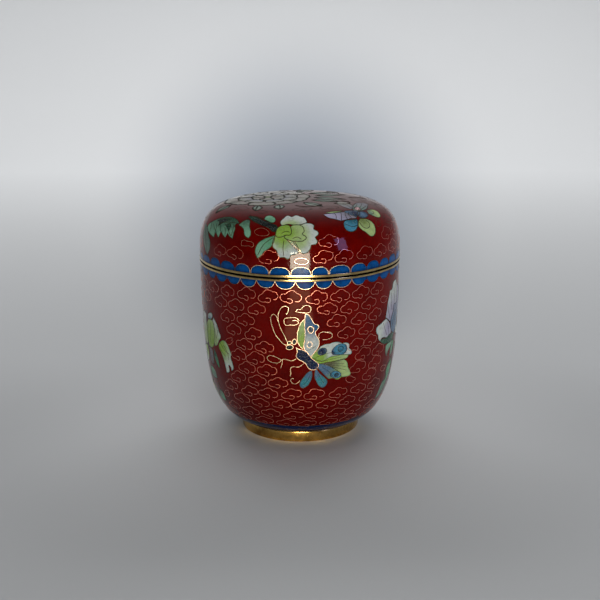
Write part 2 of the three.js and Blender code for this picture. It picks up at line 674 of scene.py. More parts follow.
def addTo(target, bm, material=0):
    for face in bm.faces:
        face.material_index = material
    mesh = bpy.data.meshes.new("part")
    bm.to_mesh(mesh)
    bm.free()
    target.from_mesh(mesh)
    bpy.data.meshes.remove(mesh)


def laidWire(target, strokes, closed, ground, width, lift, material=0, steps=3):
    section = wireSection(width)
    bm = drawn(strokes, closed, section, steps)
    bpy.data.curves.remove(section.data)
    ground.lay(bm, lift)
    bmesh.ops.recalc_face_normals(bm, faces=bm.faces)
    addTo(target, bm, material)


def cutToGrid(bm, pitch):
    # even small faces, so that a flat cell can follow the wall
    xs, ys = [v.co.x for v in bm.verts], [v.co.y for v in bm.verts]
    for axis, low, high in ((0, min(xs), max(xs)), (1, min(ys), max(ys))):
        count = max(1, round((high - low) / pitch))
        for i in range(1, count):
            spot, normal = Vector((0, 0, 0)), Vector((0, 0, 0))
            spot[axis], normal[axis] = low + (high - low) * i / count, 1
            geometry = bm.verts[:] + bm.edges[:] + bm.faces[:]
            bmesh.ops.bisect_plane(bm, geom=geometry, dist=0.002, plane_co=spot, plane_no=normal)


def cells(strokes, pitch, steps=3):
    bm = drawn(strokes, True, None, steps)
    bmesh.ops.remove_doubles(bm, verts=bm.verts, dist=0.001)
    bmesh.ops.dissolve_limit(bm, angle_limit=0.01, verts=bm.verts, edges=bm.edges,
                             use_dissolve_boundaries=False)
    cutToGrid(bm, pitch)
    return bm


def thickened(bm):
    made = bmesh.ops.extrude_face_region(bm, geom=bm.faces[:])
    under = [part for part in made["geom"] if isinstance(part, bmesh.types.BMVert)]
    bmesh.ops.translate(bm, verts=under, vec=(0, 0, -inlay["depth"]))
    bmesh.ops.recalc_face_normals(bm, faces=bm.faces)


def blend(first, second, share):
    share = min(max(share, 0), 1)
    share = share * share * (3 - 2 * share)
    return (*[a + (b - a) * share for a, b in zip(enamels[first], enamels[second])], 1)


def enamelCell(target, outline, ground, layer, colours, heart, reach, pitch):
    # one colour round the heart, running into the other over the reach
    bm = cells([outline], pitch)
    tint = bm.verts.layers.float_color.new("tint")
    near, far = reach
    for v in bm.verts:
        away = math.hypot(v.co.x - heart[0], v.co.y - heart[1])
        speckle = random.uniform(-inlay["speckle"], inlay["speckle"])
        colour = blend(*colours, (away - near) / (far - near) + speckle)
        if v.is_boundary:
            colour = [part * deep for part, deep in zip(colour, (*inlay["pooled"], 1))]
        v[tint] = colour
    thickened(bm)
    ground.lay(bm, inlay["proud"] + inlay["layer"] * layer)
    addTo(target, bm)


# Scalloped borders on both sides of the rims. The lobes at the front have their own widths in degrees,
# from the first angle on, and the others are uneven by chance.
borders = {
    "pitch": 1.1,
    "uneven": 0.12,  # share by which a lobe may be wider or narrower
    "unevenHeight": 0.06,
    "lean": 0.12,  # how far its top may lean to a side
    "body": {
        "first": -33.9,
        "widths": (10.1, 10.5, 11.0, 10.4, 9.5, 11.3, 9.7),
        "count": 36,
        "height": 2.75,
        "half": ((0.5, 0.0, 1), (0.41, 0.48), (0.25, 0.86)),  # shares of a lobe's width and height
        "fill": 1.0,
    },
    "lid": {
        "first": -27.4,
        "widths": (10.8, 11.5, 11.2, 9.4, 12.5, 10.6),
        "count": 35,
        "height": 2.9,
        "half": ((0.5, 0.0, 1), (0.475, 0.46), (0.30, 0.86)),
        "fill": 0.94,
    },
    "joined": (31, 329),  # between these angles the blue runs on between the lobes
    "joinedRise": 1.25,
    "edge": (0.30, 0.42, 0.50),  # how much deeper the blue is along its wires
    "dark_shaded": 36,  # from this angle on the wires are dark, painted shade round the sides
}


def lobes(wall, plan):
    loose = plan["count"] - len(plan["widths"])
    spread = [random.uniform(1 - borders["uneven"], 1 + borders["uneven"]) for _ in range(loose)]
    share = (360 - sum(plan["widths"])) / sum(spread)
    perDegree = math.radians(wall.radius(0))
    start, shapes = plan["first"] * perDegree, []
    for degrees in list(plan["widths"]) + [part * share for part in spread]:
        width = degrees * perDegree
        stretch = random.uniform(1 - borders["unevenHeight"], 1 + borders["unevenHeight"])
        high = plan["height"] * stretch * wall.sign
        lean = random.uniform(-borders["lean"], borders["lean"])
        middle, filled = start + width / 2, width * plan["fill"]
        left, right = ([(middle + way * filled * out + lean * up, high * up, *corner)
                        for out, up, *corner in plan["half"]] for way in (-1, 1))
        shapes.append(left + [(middle + lean, high)] + right[::-1])
        start += width
    return shapes


def scallops(name, wall):
    shapes, ground = lobes(wall, borders[name]), Ground(wall, 0, 0)
    low, high = (math.radians(angle) * wall.radius(0) for angle in borders["joined"])
    rise = borders["joinedRise"] * wall.sign
    strip = [(low, 0, 1), (low, rise, 1), (high, rise, 1), (high, 0, 1)]
    whole = bmesh.new()
    for outlines, lift in ((shapes, 0), ([strip], -inlay["layer"] / 2)):
        bm = cells(outlines, borders["pitch"], 2)
        tint = bm.verts.layers.float_color.new("tint")
        for v in bm.verts:
            v[tint] = (*borders["edge"], 1) if v.is_boundary else (1, 1, 1, 1)
        thickened(bm)
        ground.lay(bm, inlay["proud"] + lift)
        addTo(whole, bm)
    finished(whole, name + "_border_scallops", name + "_enamel", border)
    bm = bmesh.new()
    laidWire(bm, shapes, False, ground, wires["fine"], wires["proud"])
    for face in bm.faces:
        x, y = face.calc_center_median().xy
        face.material_index = int(math.atan2(abs(x), -y) > math.radians(borders["dark_shaded"]))
    finished(bm, name + "_border_wires", "rim_gilt", borderWire, darkWire)


scallops("body", bodyWall)
scallops("lid", lidWall)


footBand = {"rise": 5.0, "wire": 0.2}


def alongWall(line, low, high, over, under):
    part = [p for p in line if low <= p.y <= high]
    return [tuple(p) for p in inwards(part, -over)] + [tuple(p) for p in reversed(inwards(part, under))]


def addFootBand():
    line, top = bodyLine(400), footHeight + footBand["rise"]
    section = alongWall(line, footHeight, top, inlay["proud"], inlay["depth"])
    finished(turned(section, closed=True), "foot_band", "body_enamel", footBlue)
    section = alongWall(line, top, top + footBand["wire"], wires["proud"], inlay["depth"])
    finished(turned(section, closed=True), "foot_band_wire", "rim_gilt", darkWire)


addFootBand()
print("blue borders laid")

# The butterfly on the front, each outline round the place where its wings meet
butterfly = {
    "angle": 6.5,
    "height": -28.8,
    "girth": 37.0,
    "cells": [
        (0, ("lime", "paleLime"), (-3.8, 6.0), (0.2, 9.0), [
            (-3.4, 4.1, 1), (-5.0, 6.5), (-5.2, 9.2), (-4.7, 11.9), (-3.8, 14.1), (-2.5, 15.3, 1),
            (-2.6, 12.5), (-2.5, 10.4), (-2.6, 7.9), (-2.9, 5.7)]),
        (0, ("sky", "white"), (0.2, 13.4), (2.0, 6.8), [
            (-2.4, 17.2, 1), (-1.2, 16.7), (0.0, 14.7), (0.7, 13.4, 1), (2.3, 12.6), (2.0, 11.5),
            (1.1, 10.5, 1), (1.4, 9.1), (2.2, 7.9), (2.5, 6.1), (2.2, 4.6), (0.9, 2.8), (-0.7, 0.8, 1),
            (-1.9, 2.4), (-2.7, 4.3, 1), (-2.9, 5.7), (-2.6, 7.9), (-2.5, 10.4), (-2.6, 12.5)]),
        (1, ("navy", "darkBlue"), (-2.5, 0.5), (0.5, 6.5), [
            (-5.7, 4.7, 1), (-4.4, 4.0), (-2.8, 3.6), (-1.3, 2.2), (-0.3, 0.7), (1.2, -0.6), (2.4, -2.0),
            (1.8, -3.4), (0.2, -3.9), (-1.3, -3.1), (-2.2, -1.5), (-3.6, -0.4), (-5.0, 0.4), (-5.6, 1.7),
            (-5.2, 3.1)]),
        (0, ("black", "black"), (0, 0), (0, 1), [
            (-9.1, 4.8), (-8.5, 5.5), (-7.6, 5.6), (-6.7, 5.1), (-6.9, 4.3), (-7.9, 3.9), (-8.9, 4.1)]),
        (0, ("black", "black"), (0, 0), (0, 1), [
            (-7.0, 6.7), (-6.6, 7.6), (-6.0, 7.9), (-5.5, 7.2), (-5.7, 6.2), (-6.3, 5.8), (-6.8, 6.1)]),
        (0, ("black", "black"), (0, 0), (0, 1), [
            (-8.4, 5.7, 1), (-8.7, 6.6), (-7.6, 7.0), (-7.1, 6.2, 1)]),
        (1, ("darkBlue", "teal"), (-0.5, 11.2), (0.1, 1.2), [
            (-1.5, 11.8), (-0.7, 12.5), (0.3, 12.1), (0.5, 11.0), (-0.2, 10.0), (-1.1, 10.4)]),
        (1, ("slate", "white"), (-0.9, 5.7), (0.1, 0.9), [
            (-1.8, 5.8), (-1.3, 6.7), (-0.3, 6.6), (0.0, 5.5), (-0.7, 4.7), (-1.5, 4.9)]),
    ],
    "shaded": [
        (0, ("lime", "white"), (2.4, 0.4), (1.6, 4.6), [
            (-0.9, 0.9, 1), (1.8, 3.4), (3.0, 4.9, 1), (4.8, 5.6), (6.4, 5.6, 1), (7.8, 6.1), (9.4, 6.0),
            (11.2, 5.3, 1), (13.0, 5.3), (14.1, 4.2), (13.8, 3.3, 1), (15.1, 1.8), (15.0, 0.8),
            (13.8, 0.7, 1), (11.5, 1.0), (9.2, 0.9), (7.3, 0.8), (5.7, 0.2), (4.2, -0.7), (2.1, -0.5)]),
        (0, ("lime", "paleLime"), (4.0, -0.5), (1.0, 9.0), [
            (0.0, 0.9, 1), (2.1, -0.3), (4.2, -0.7), (5.7, 0.2), (7.3, 0.8), (9.2, 0.9), (11.5, 1.0),
            (13.8, 0.7, 1), (13.5, -0.2), (11.9, -0.9), (9.9, -1.0), (7.3, -1.3), (5.2, -1.5),
            (3.0, -1.7, 1), (1.2, -0.9)]),
        (0, ("umber", "paleLime"), (4.6, -1.6), (2.2, 8.6), [
            (3.0, -1.6, 1), (7.3, -1.3), (9.9, -1.0), (11.9, -0.9), (13.4, -2.2), (13.8, -4.2, 1),
            (14.9, -6.1), (15.1, -7.2), (13.3, -7.8), (11.4, -7.7, 1), (10.8, -6.1), (8.7, -4.3),
            (6.4, -2.9)]),
        (0, ("slate", "lime"), (4.0, -3.6), (2.2, 7.4), [
            (2.4, -1.8, 1), (4.9, -1.8), (6.4, -2.9), (8.7, -4.3), (10.8, -6.1), (11.4, -7.7, 1),
            (9.9, -8.5), (7.9, -7.7), (6.3, -7.8, 1), (5.0, -6.5), (3.4, -4.7), (2.1, -2.8)]),
        (0, ("turquoise", "slate"), (-2.4, -8.6), (0.9, 2.8), [
            (0.0, -4.2, 1), (0.1, -6.4), (-0.5, -8.4), (-1.9, -10.3), (-3.6, -10.9), (-4.4, -9.6),
            (-3.8, -7.9), (-2.7, -6.3), (-1.3, -4.7)]),
        (0, ("turquoise", "slate"), (3.6, -8.6), (1.0, 3.0), [
            (1.4, -3.3, 1), (2.9, -5.4), (4.7, -7.1), (5.8, -8.5), (5.5, -10.1), (4.2, -11.1),
            (2.8, -10.3), (1.7, -8.5), (1.0, -6.5)]),
        (1, ("navy", "slate"), (3.6, 2.8), (0.8, 1.9), [
            (2.0, 2.4), (2.8, 3.9), (4.2, 4.3), (5.3, 3.5), (5.0, 2.3), (3.3, 1.5)]),
        (1, ("azure", "darkBlue"), (10.4, 3.2), (1.6, 3.2), [
            (7.2, 1.9), (8.8, 4.7), (11.6, 5.1), (13.0, 3.9), (12.4, 1.5), (9.3, 1.2)]),
        (2, ("azure", "teal"), (10.6, 3.6), (0.1, 1.2), [
            (9.5, 3.2), (10.1, 4.3), (11.3, 4.2), (11.7, 3.2), (10.9, 2.4), (9.9, 2.4)]),
        (1, ("azure", "darkBlue"), (9.2, -6.4), (1.2, 2.6), [
            (6.8, -6.5), (8.0, -5.1), (9.8, -5.3), (11.2, -6.9), (10.0, -7.9), (8.2, -7.6)]),
        (2, ("teal", "darkBlue"), (9.4, -6.4), (0.1, 1.0), [
            (8.4, -6.7), (9.2, -5.8), (10.2, -6.4), (9.8, -7.1), (8.9, -7.3)]),
    ],
    "lines": [
        [(-8.6, 6.2), (-8.9, 5.6), (-9.8, 5.8), (-11.4, 7.3), (-13.0, 9.5), (-14.1, 12.4), (-14.5, 15.1),
         (-13.8, 16.7), (-12.7, 16.3), (-11.9, 14.2)],
        [(-8.8, 6.9), (-9.6, 8.8), (-10.8, 11.2), (-11.5, 13.3), (-11.9, 15.4), (-11.2, 18.4),
         (-9.9, 19.8), (-8.4, 19.6), (-8.2, 18.5), (-8.9, 16.8)],
        [(-15.4, 1.2), (-16.2, 0.4), (-15.6, -0.8), (-13.8, -1.4), (-11.9, -1.2), (-11.1, -0.2),
         (-11.9, 0.4), (-13.7, 1.1), (-15.3, 1.3)],
        [(-11.5, -0.9), (-10.4, 0.2), (-7.4, -0.3), (-5.6, 0.4)],
        [(-10.5, 0.0), (-10.7, -1.6), (-11.3, -3.2)],
        [(-3.0, -1.4), (-4.8, -2.7), (-7.4, -2.8), (-7.6, -5.0), (-7.8, -6.3)],
        [(-6.6, -7.1), (-7.6, -7.5), (-7.3, -8.8), (-6.0, -9.3), (-4.8, -8.6), (-4.4, -7.9)],
        [(-4.5, 14.8), (-5.5, 15.7), (-7.8, 15.7), (-9.4, 15.4), (-9.8, 14.5), (-9.3, 13.1), (-7.5, 13.1),
         (-5.2, 13.3), (-4.8, 14.2), (-5.8, 14.8), (-6.8, 14.7)],
        [(-5.7, 18.0), (-4.9, 18.9), (-4.2, 18.7), (-2.9, 20.0), (-1.4, 20.2), (-0.4, 19.0), (-1.0, 17.7),
         (-3.7, 17.7), (-5.7, 18.0)],
        [(6.9, 9.4), (5.6, 9.9), (3.5, 10.2), (2.3, 9.2), (2.6, 8.0)],
        [(5.2, 10.2), (7.0, 9.5), (7.2, 8.2), (5.6, 7.4), (3.8, 7.3)],
    ],
    "ribs": [
        [(-4.6, 2.2), (-3.6, 1.4), (-2.9, 1.9)],
        [(-4.9, 3.4), (-3.4, 2.8), (-2.5, 2.3)],
        [(-3.2, -0.2), (-2.2, -0.1), (-1.5, 0.9)],
        [(-2.0, -1.2), (-1.0, -1.2), (-0.4, -0.4)],
        [(-1.2, -2.4), (-0.4, -2.6), (0.6, -1.6)],
        [(3.2, -0.9), (7.0, -0.3), (11.0, 0.1)],
        [(4.6, -1.3), (8.0, -1.1), (12.4, -0.6)],
        [(5.4, -2.2), (8.5, -2.2), (12.2, -2.6)],
        [(6.0, -2.6), (9.6, -3.0), (13.0, -3.8)],
        [(6.6, -3.0), (9.8, -4.0), (13.0, -5.2)],
        [(1.6, 0.9), (5.0, 2.0), (9.0, 2.2), (13.0, 1.6)],
        [(-2.0, 3.6), (-0.4, 4.0), (1.6, 5.4)],
        [(-2.8, 6.0), (-1.9, 9.0), (-1.8, 12.4)],
        [(3.6, -3.0), (6.4, -5.0), (8.2, -7.4)],
        [(-0.4, -5.6), (-1.6, -8.0), (-3.0, -9.6)],
        [(2.2, -5.4), (3.4, -7.6), (4.6, -9.4)],
    ],
}


def petalOutline(length, width, count, wave=0.5, pinch=0.18):
    # a petal from its root at the origin, pointing up, with so many lobes along its edge
    half = width / 2
    knots = [(-half * pinch, 0, 1), (-half * 0.72, length * 0.32), (-half, length * 0.68)]
    for i in range(count):
        for share, out in ((0.5, wave), (1.0, 0.0)):
            turn = math.pi * (1 - (i + share) / count * 0.86 - 0.07)
            x, y = half * math.cos(turn), length * 0.70 + (length * 0.30) * math.sin(turn)
            corner = (1,) if share == 1.0 and i < count - 1 else ()
            knots.append((x * (1 + 0.06 * out), y + out, *corner))
    knots[-1] = (half, length * 0.68)
    return knots + [(half * 0.72, length * 0.32), (half * pinch, 0, 1)]


def leafOutline(length, width, bend):
    # shares of the half width, of the bend and of the length, up the left side and down the right one
    shares = [(0, 0, 0, 1), (-0.8, 0.2, 0.25), (-1, 0.6, 0.5), (-0.55, 0.95, 0.8), (0, 1, 1, 1),
              (0.7, 0.95, 0.72), (1, 0.6, 0.45), (0.7, 0.2, 0.2)]
    half = width / 2
    return [(half * out + bend * aside, length * up, *corner) for out, aside, up, *corner in shares]


def moved(knots, x, y, turn):
    # turned clockwise by so many degrees, then shifted
    c, s = math.cos(math.radians(turn)), math.sin(math.radians(turn))
    return [(x + c * k[0] + s * k[1], y - s * k[0] + c * k[1], *k[2:]) for k in knots]


def flower(petalRings):
    # rings of petals from the outside in: layer, number, length, width, root, first turn, colours, lobes
    made = []
    for layer, count, length, width, root, first, colours, edgeLobes in petalRings:
        for i in range(count):
            turn = first + 360 / count * i + random.uniform(-5, 5)
            size = random.uniform(0.92, 1.08)
            petal = petalOutline(length * size, width * size, edgeLobes)
            knots = moved([(k[0], k[1] + root, *k[2:]) for k in petal], 0, 0, turn)
            made.append((layer, colours, (0, 0), (root + length * 0.15, root + length * 0.95), knots))
    return made


def leaf(colours, x, y, length, width, turn, bend):
    # a leaf's cell and the vein in it
    knots = moved(leafOutline(length, width, bend), x, y, turn)
    middle, tip = moved([(bend * 0.35, length * 0.55), (bend, length)], x, y, turn)
    vein = [(x, y), middle, (x + (tip[0] - x) * 0.9, y + (tip[1] - y) * 0.9)]
    return (0, colours, (x, y), (length * 0.1, length), knots), vein


# The flower on the lid's front, round the middle of its petals
lidSpray = {
    "angle": -7.1,
    "height": 14.1,
    "girth": 36.0,
    "cells": [
        (0, ("paleLime", "white"), (1.0, 2.0), (2.5, 6.0), [
            (-2.3, 3.5, 1), (-3.3, 5.5), (-2.3, 7.5, 1), (-1.2, 9.4), (1.0, 8.5, 1), (2.9, 9.8),
            (4.8, 8.8, 1), (6.3, 8.2), (7.4, 5.5, 1), (5.5, 4.4), (2.3, 4.1), (-0.1, 4.5)]),
        (0, ("paleLime", "white"), (2.0, 0.0), (4.0, 7.5), [
            (3.4, 4.0, 1), (5.5, 4.6, 1), (7.3, 5.0), (9.8, 4.0), (9.5, 2.3, 1), (11.2, 0.7),
            (9.8, -0.8, 1), (10.4, -2.8), (8.3, -3.5, 1), (7.7, -5.2), (5.9, -6.4), (4.3, -5.6),
            (3.0, -3.7), (1.6, -1.4, 1)]),
        (0, ("lime", "white"), (-1.5, -0.5), (1.5, 6.5), [
            (-3.9, 0.2, 1), (-2.2, 0.4), (0.4, 0.2), (2.2, -1.6), (3.6, -3.8), (4.4, -5.7, 1), (2.8, -6.7),
            (1.5, -6.9, 1), (0.7, -8.3), (-0.8, -7.7, 1), (-2.6, -7.6), (-3.3, -5.5, 1), (-4.7, -4.3),
            (-4.9, -2.4)]),
        (1, ("lime", "paleLime"), (0.5, 0.8), (0.5, 4.4), [
            (0.8, 3.2, 1), (2.1, 4.1), (5.5, 3.5), (6.1, 1.4, 1), (5.4, 0.5), (6.8, -0.8), (5.4, -2.1, 1),
            (3.2, -2.2), (0.1, -1.5), (-1.0, -0.6), (0.2, 0.4)]),
        (2, ("lime", "lime"), (-1.0, 1.0), (0, 1), [
            (-4.2, 0.8, 1), (-3.8, 2.6), (-1.7, 3.9), (0.3, 3.9), (1.3, 2.4), (1.2, 0.2), (-0.5, 0.0),
            (-2.2, -0.8), (-3.9, -0.5)]),
        (0, ("leaf", "paleLeaf"), (-4.5, -0.3), (0.5, 9.0), [
            (-4.5, -0.3, 1), (-7.2, -1.3), (-9.5, -2.7), (-10.8, -4.7), (-10.9, -6.8), (-10.0, -8.6, 1),
            (-8.8, -7.8), (-7.8, -6.2), (-5.5, -4.4), (-4.4, -2.1)]),
        (0, ("leaf", "paleLeaf"), (-8.0, 5.0), (0.5, 4.0), [
            (-10.5, 6.4, 1), (-10.3, 8.5), (-7.3, 8.4), (-5.5, 5.4), (-6.9, 4.9)]),
        (1, ("black", "darkLeaf"), (-9.0, 4.0), (2.0, 12.0), [
            (-18.6, 6.9, 1), (-16.2, 7.4), (-10.5, 5.7), (-6.6, 4.5), (-3.8, 2.9), (-4.7, 1.1),
            (-7.1, 2.4), (-10.8, 3.6), (-15.1, 5.1)]),
        (0, ("dullLeaf", "paleLeaf"), (-17.6, 5.6), (0.5, 6.0), [
            (-20.2, 2.5, 1), (-18.6, 4.8), (-16.8, 5.4), (-15.2, 2.6), (-13.5, -0.5), (-14.1, -1.9, 1),
            (-15.8, -1.2), (-17.3, 1.2)]),
        (0, ("darkLeaf", "paleLeaf"), (-29.0, 40.0), (35.0, 44.0), [
            (-20.3, 3.2, 1), (-21.9, 2.5), (-21.0, 0.7), (-21.0, -0.7), (-20.9, -2.9, 1), (-22.5, -2.3),
            (-24.0, -1.3, 1), (-24.7, -3.0, 1), (-26.4, -2.1), (-27.9, -1.1, 1), (-28.3, -3.5, 1),
            (-29.7, -2.7), (-30.8, -1.7, 1), (-31.3, -3.9, 1), (-33.3, -3.6), (-36.1, -2.8),
            (-38.4, -2.0), (-38.8, -0.5), (-36.5, 1.4), (-33.3, 3.3), (-29.8, 4.8), (-25.8, 5.2),
            (-22.2, 4.3)]),
        (1, ("darkLeaf", "darkLeaf"), (0, 0), (0, 1), [(-27.1, 1.5, 1), (-24.3, 2.3), (-23.6, -0.4, 1)]),
        (1, ("black", "darkLeaf"), (-30.0, 3.0), (0.5, 4.0), [
            (-33.6, 2.4, 1), (-30.0, 3.9), (-25.6, 4.3, 1), (-28.8, 2.2), (-31.0, 0.4, 1), (-31.4, 1.8)]),
        (1, ("dullLeaf", "greyLeaf"), (-41.0, -3.0), (0.5, 8.0), [
            (-42.2, -0.5, 1), (-41.9, -3.0), (-40.3, -6.1), (-37.8, -9.0), (-35.1, -11.1, 1),
            (-33.3, -8.5), (-33.4, -5.9), (-35.4, -4.1), (-37.4, -2.2)]),
    ],
    "lines": [
        [(-0.2, -1.3), (2.0, -3.7), (4.0, -5.7)],
        [(-4.8, -1.0), (-8.0, -3.6), (-10.0, -7.6)],
        [(-36.8, 0.9), (-35.6, -0.8), (-35.4, -2.6)],
        [(-32.6, 1.4), (-31.4, -0.6), (-31.2, -3.4)],
        [(-22.6, 2.6), (-21.9, 0.4), (-21.8, -2.0)],
        [(-26.6, 0.6), (-25.4, -0.8), (-24.9, -2.4)],
        [(-18.4, 7.6), (-13.0, 7.2), (-7.6, 5.2)],
        [(-21.9, 3.2), (-26.2, 2.8), (-30.6, 1.8)],
        [(-25.7, 1.5), (-23.6, -0.6), (-22.0, -2.0)],
        [(-30.3, 1.5), (-29.1, 0.1), (-28.0, -1.1)],
        [(-34.7, 0.7), (-32.9, -0.6), (-31.0, -1.6)],
        [(-40.8, -1.2), (-38.0, -4.9), (-35.5, -9.7)],
        [(-2.0, 0.6), (-0.6, 1.4), (0.8, 1.2)],
        [(-1.0, -2.0), (-1.2, -4.6), (-0.9, -7.2)],
        [(2.0, -1.2), (3.6, -0.6), (5.0, -1.4)],
    ],
    "gilt": [
        [(2.6, -9.2), (3.3, -8.3), (4.7, -8.0), (6.6, -8.4), (7.3, -9.2), (6.5, -10.0), (4.6, -10.1),
         (3.2, -9.8), (2.6, -9.2)],
        [(-12.4, 0.9), (-11.2, 2.0), (-9.4, 2.2), (-7.4, 1.4), (-6.6, 0.2), (-8.2, -0.6), (-10.4, -0.5),
         (-12.0, 0.1), (-12.4, 0.9)],
        [(-16.6, -3.1), (-15.6, -2.7), (-14.6, -3.0), (-13.0, -3.1), (-11.9, -3.6), (-12.1, -4.8),
         (-13.6, -4.6), (-15.4, -4.8), (-16.6, -4.6), (-16.6, -3.1)],
        [(-0.3, -1.6), (2.4, -4.0), (4.6, -6.2)],
        [(0.5, -1.7), (2.8, -3.7), (5.0, -5.8)],
    ],
}

lidButterfly = {
    "angle": 41.2,
    "height": 19.5,
    "girth": 34.0,
    "cells": [
        (0, ("greyLilac", "lilac"), (0.0, 4.0), (1.0, 11.0), [
            (-14.0, 4.5, 1), (-12.9, 2.1), (-10.7, 1.0), (-8.4, -0.2, 1), (-6.1, 0.0, 1), (-3.9, 0.4, 1),
            (-1.3, 0.1, 1), (0.1, 1.1), (0.4, 3.4), (-1.2, 4.7), (-4.2, 5.1), (-7.6, 4.9), (-11.0, 4.9)]),
        (0, ("olive", "paleLime"), (-3.0, 6.0), (1.0, 9.0), [
            (-12.6, 5.6, 1), (-9.7, 6.3), (-6.0, 6.3), (-2.8, 6.3, 1), (-5.6, 5.4), (-9.5, 5.1)]),
        (0, ("greyLeaf", "greyLilac"), (4.0, 4.6), (1.0, 13.0), [
            (2.4, 4.6, 1), (4.1, 6.8), (10.6, 9.2), (17.5, 9.0), (19.1, 7.0), (14.9, 5.1), (8.8, 3.7),
            (5.0, 3.8, 1)]),
        (0, ("greyLilac", "shell"), (3.0, 6.5), (1.0, 10.0), [
            (6.5, 15.7, 1), (13.7, 14.8), (10.0, 10.7), (5.9, 7.0), (2.5, 6.2, 1), (1.7, 8.4),
            (2.6, 11.6)]),
        (1, ("navy", "slate"), (1.0, 3.0), (0.5, 5.0), [
            (-3.2, 5.0), (-0.6, 5.5), (1.8, 5.1), (3.8, 3.9), (3.2, 2.4), (0.7, 1.2), (-1.1, 1.3),
            (-2.3, 2.7)]),
        (1, ("slate", "navy"), (3.6, 1.4), (0.3, 3.4), [
            (1.9, 2.7), (4.5, 3.4), (6.6, 2.7), (6.7, 1.1), (4.8, -0.1), (2.5, -0.4), (0.9, 0.2),
            (0.7, 1.4)]),
        (2, ("pink", "pink"), (0, 0), (0, 1), [
            (5.2, 6.4), (8.2, 6.7), (8.0, 5.4), (5.5, 4.3), (3.9, 5.0)]),
        (0, ("teal", "azure"), (-3.0, 0.8), (1.6, 4.6), [
            (-7.0, -0.5), (-4.6, -0.2), (-1.1, -0.4, 1), (-2.1, -2.2), (-3.3, -3.9), (-4.9, -5.0),
            (-6.5, -5.1), (-7.9, -4.3), (-8.3, -2.8)]),
        (0, ("olive", "paleLime"), (1.0, -1.0), (0.5, 4.5), [
            (0.2, -0.4, 1), (2.3, -0.7), (3.8, -1.5), (4.9, -2.8), (5.1, -4.3), (4.5, -6.2), (3.3, -7.6),
            (1.7, -8.0), (0.6, -7.2), (-0.4, -6.1), (-1.9, -4.7), (-2.5, -3.4, 1), (-1.5, -1.7)]),
        (0, ("greyLeaf", "paleLime"), (8.0, 1.6), (0.5, 4.5), [
            (9.1, 3.0, 1), (12.4, 2.8), (14.2, 1.4), (13.8, -0.4), (11.9, -1.8), (10.2, -1.7), (8.5, -0.5),
            (7.3, 1.0, 1)]),
    ],
    "lines": [
        [(-8.8, 4.9), (-8.9, 3.3), (-10.0, 0.9)],
        [(-5.2, 5.0), (-6.7, 2.6), (-8.2, 0.0)],
        [(-3.1, 4.8), (-4.7, 2.6), (-5.4, 0.2)],
        [(-1.7, 4.3), (-3.1, 2.4), (-3.1, 0.5)],
        [(-0.2, 3.2), (-1.0, 1.4), (-0.6, 0.7)],
        [(13.4, 8.9), (7.7, 7.1), (4.2, 5.1)],
        [(17.3, 8.0), (9.6, 6.2), (5.0, 4.5)],
        [(15.6, 5.8), (9.8, 5.0), (5.6, 4.1)],
        [(8.7, 13.2), (6.1, 10.2), (3.7, 6.7)],
        [(-7.6, -1.7), (-6.3, -2.7), (-5.0, -3.3), (-2.8, -3.1)],
        [(-1.2, -1.9), (-0.9, -3.6), (0.2, -4.6), (1.8, -4.6), (2.8, -3.8), (3.0, -2.5), (2.6, -1.5)],
        [(9.3, 2.4), (11.2, 2.2), (11.3, 1.2), (9.4, 0.5), (8.0, 0.7)],
    ],
}

